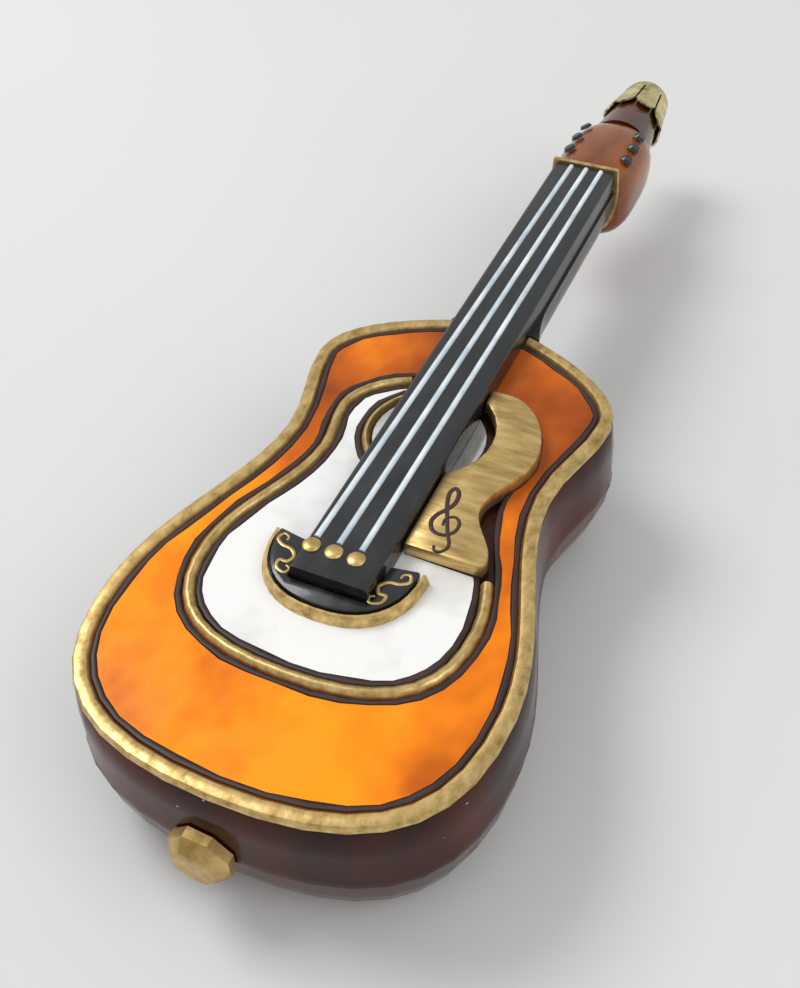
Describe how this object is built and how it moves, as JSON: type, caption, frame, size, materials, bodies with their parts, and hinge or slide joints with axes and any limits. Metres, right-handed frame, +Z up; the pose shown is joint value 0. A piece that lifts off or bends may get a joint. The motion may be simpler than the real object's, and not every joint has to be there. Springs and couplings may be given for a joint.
{
  "type": "guitar ornament",
  "caption": "Blown glass guitar-shaped hanging ornament with raised painted details, a pressed metal cap that pulls off and a wire loop that slides out to hang it.",
  "frame": {"origin": "on the surface the back rests on, under the middle of the whole ornament", "axes": "+X across the body, +Y from the tail to the cap, +Z up out of the front"},
  "size_m": [0.062, 0.1912, 0.0295],
  "materials": {
    "dark_lacquer": "aubergine brown gloss lacquer on glass",
    "amber_lacquer": "cloudy amber translucent lacquer on glass",
    "pearl_lacquer": "pearly white lacquer on glass",
    "gold_paint": "hand brushed antique gold paint on glass",
    "black_enamel": "black satin enamel on glass",
    "mahogany_lacquer": "mahogany gloss lacquer on glass",
    "string_white": "bluish white enamel lines",
    "cap_metal": "pressed gold coloured sheet metal",
    "wire_metal": "bright spring wire"
  },
  "bodies": {
    "ornament": {"glass_body": "dark_lacquer", "amber_top": "amber_lacquer", "white_panel": "pearl_lacquer", "rim_band": "gold_paint", "panel_bead": "gold_paint", "sound_hole_dish": "pearl_lacquer", "rosette_ring": "gold_paint", "pickguard": "gold_paint", "bridge_plate": "black_enamel", "bridge_edge": "gold_paint", "fingerboard": "black_enamel", "bass_string": "string_white", "middle_string": "string_white", "treble_string": "string_white", "bass_end_dot": "gold_paint", "middle_end_dot": "gold_paint", "treble_end_dot": "gold_paint", "neck": "black_enamel", "nut": "gold_paint", "head": "mahogany_lacquer", "tuning_peg_1": "black_enamel", "tuning_peg_2": "black_enamel", "tuning_peg_3": "black_enamel", "tuning_peg_4": "black_enamel", "tuning_peg_5": "black_enamel", "tuning_peg_6": "black_enamel", "spout": "mahogany_lacquer", "end_button": "gold_paint"},
    "cap": {"cap": "cap_metal"},
    "hanger": {"hanger_wire": "wire_metal"}
  },
  "joints": [
    {"name": "cap_pull", "type": "slide", "parent": "ornament", "child": "cap", "axis": [0, 1, 0], "range_m": [0, 0.016]},
    {"name": "hanger_pull", "type": "slide", "parent": "cap", "child": "hanger", "axis": [0, 1, 0], "range_m": [0, 0.007]}
  ]
}
